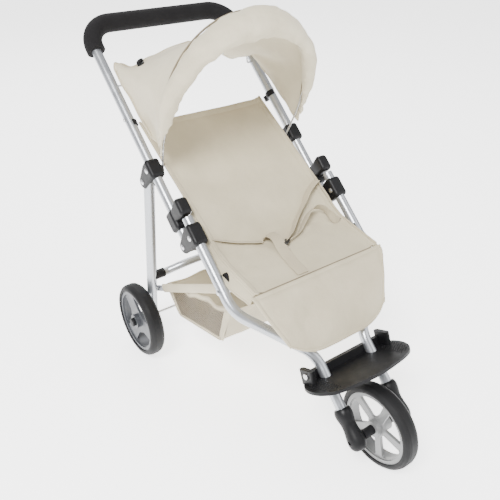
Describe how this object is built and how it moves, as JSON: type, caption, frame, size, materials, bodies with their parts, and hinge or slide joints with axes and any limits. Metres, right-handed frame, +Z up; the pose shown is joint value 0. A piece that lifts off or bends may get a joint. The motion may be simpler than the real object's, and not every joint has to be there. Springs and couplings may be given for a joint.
{
  "type": "doll stroller",
  "caption": "Three-wheeled toy stroller for a doll: folding tube frame, sling seat with straps, arched hood, foam handle, footrest and mesh-sided basket.",
  "frame": {"origin": "on the floor, under the middle of the stroller's bounding box", "axes": "+Z up, +Y towards the handle at the back, -Y towards the front wheel, +X completes a right-handed set; the parts called left are on the -X side"},
  "size_m": [0.3776, 0.6968, 0.627],
  "materials": {
    "tube_silver": "silver-grey paint, satin",
    "bare_steel": "plain steel",
    "rivet_steel": "plated, bright",
    "bracket_plastic": "moulded, black, satin",
    "plug_plastic": "moulded, black",
    "grip_foam": "closed foam, fine grain",
    "tyre_black": "soft black",
    "rim_front": "silver-grey moulded",
    "rim_rear": "dark grey moulded",
    "seat_cloth": "woven, cream",
    "hood_cloth": "woven, cream",
    "strap_web": "webbing, cream",
    "mesh_net": "open net, tan",
    "clip_plastic": "small moulding, black",
    "ring_plastic": "small moulding, black",
    "buckle_plastic": "small moulding, cream",
    "button_plastic": "small oval button, black"
  },
  "bodies": {
    "front_frame": {"lower_tube_left": "tube_silver", "lower_tube_right": "tube_silver", "side_clamp_left": "bracket_plastic", "side_clamp_right": "bracket_plastic", "side_clamp_rivets": "rivet_steel", "link_rivets": "rivet_steel", "fork_cap_left": "bracket_plastic", "fork_cap_right": "bracket_plastic", "front_axle": "bare_steel", "front_spacers": "plug_plastic", "footrest": "bracket_plastic", "footrest_screws": "rivet_steel", "lower_tube_plugs": "plug_plastic", "seat_pan": "seat_cloth", "leg_apron": "seat_cloth", "seat_clips": "clip_plastic", "crotch_strap": "strap_web", "waist_strap_left": "strap_web", "waist_strap_right": "strap_web", "harness_buckle": "buckle_plastic", "basket": "seat_cloth", "basket_mesh_left": "mesh_net", "basket_mesh_right": "mesh_net"},
    "handle_frame": {"upper_tube_left": "tube_silver", "upper_tube_right": "tube_silver", "handle_bar": "tube_silver", "handle_grip": "grip_foam", "leg_bracket_left": "bracket_plastic", "leg_bracket_right": "bracket_plastic", "leg_bracket_rivets": "rivet_steel", "seat_back": "seat_cloth", "seat_rings": "ring_plastic", "hood_top": "hood_cloth", "hood_rear_bow": "bare_steel", "hood_button": "button_plastic"},
    "hood_front": {"hood_front_bow": "bare_steel", "hood_rim": "hood_cloth"},
    "rear_frame": {"rear_leg_left": "tube_silver", "rear_leg_right": "tube_silver", "rear_cross_tube": "tube_silver", "cross_tube_plugs": "plug_plastic", "rear_axle": "bare_steel", "axle_caps": "plug_plastic"},
    "side_links": {"side_link_left": "bare_steel", "side_link_right": "bare_steel"},
    "lock_left": {"fold_lock_left": "bracket_plastic"},
    "lock_right": {"fold_lock_right": "bracket_plastic"},
    "snap_left": {"snap_button_left": "bare_steel"},
    "snap_right": {"snap_button_right": "bare_steel"},
    "front_wheel": {"front_tyre": "tyre_black", "front_rim": "rim_front"},
    "rear_wheel_left": {"rear_tyre_left": "tyre_black", "rear_rim_left": "rim_rear"},
    "rear_wheel_right": {"rear_tyre_right": "tyre_black", "rear_rim_right": "rim_rear"}
  },
  "joints": [
    {"name": "handle_fold", "type": "hinge", "parent": "front_frame", "child": "handle_frame", "pos_m": [0, 0.02157, 0.29503], "axis": [-1, 0, 0], "range_deg": [0, 120], "deforming": ["basket", "basket_mesh_left", "basket_mesh_right"]},
    {"name": "rear_fold", "type": "hinge", "parent": "handle_frame", "child": "rear_frame", "pos_m": [0, 0.14166, 0.36005], "axis": [1, 0, 0], "range_deg": [0, 66]},
    {"name": "link_fold", "type": "hinge", "parent": "front_frame", "child": "side_links", "pos_m": [0, -0.06951, 0.25908], "axis": [-1, 0, 0], "range_deg": [0, 80]},
    {"name": "hood_fold", "type": "hinge", "parent": "handle_frame", "child": "hood_front", "pos_m": [0, 0.12185, 0.38391], "axis": [-1, 0, 0], "range_deg": [0, 42], "deforming": ["hood_top"]},
    {"name": "front_wheel_spin", "type": "hinge", "parent": "front_frame", "child": "front_wheel", "pos_m": [0, -0.2784, 0.07], "axis": [1, 0, 0], "continuous": true},
    {"name": "rear_wheel_spin_left", "type": "hinge", "parent": "rear_frame", "child": "rear_wheel_left", "pos_m": [-0.1685, 0.171, 0.07], "axis": [1, 0, 0], "continuous": true},
    {"name": "lock_slide_left", "type": "slide", "parent": "handle_frame", "child": "lock_left", "axis": [0, 0.7484, 0.6633], "range_m": [0, 0.03]},
    {"name": "snap_press_left", "type": "slide", "parent": "handle_frame", "child": "snap_left", "axis": [1, 0, 0], "range_m": [0, 0.0022], "stiffness_N_per_m": 900, "springref_m": -0.001},
    {"name": "rear_wheel_spin_right", "type": "hinge", "parent": "rear_frame", "child": "rear_wheel_right", "pos_m": [0.1685, 0.171, 0.07], "axis": [1, 0, 0], "continuous": true},
    {"name": "lock_slide_right", "type": "slide", "parent": "handle_frame", "child": "lock_right", "axis": [0, 0.7484, 0.6633], "range_m": [0, 0.03]},
    {"name": "snap_press_right", "type": "slide", "parent": "handle_frame", "child": "snap_right", "axis": [-1, 0, 0], "range_m": [0, 0.0022], "stiffness_N_per_m": 900, "springref_m": -0.001}
  ],
  "couplings": [
    {"joint": "rear_fold", "follows": "handle_fold", "ratio": 0.546},
    {"joint": "link_fold", "follows": "handle_fold", "ratio": 0.666}
  ]
}
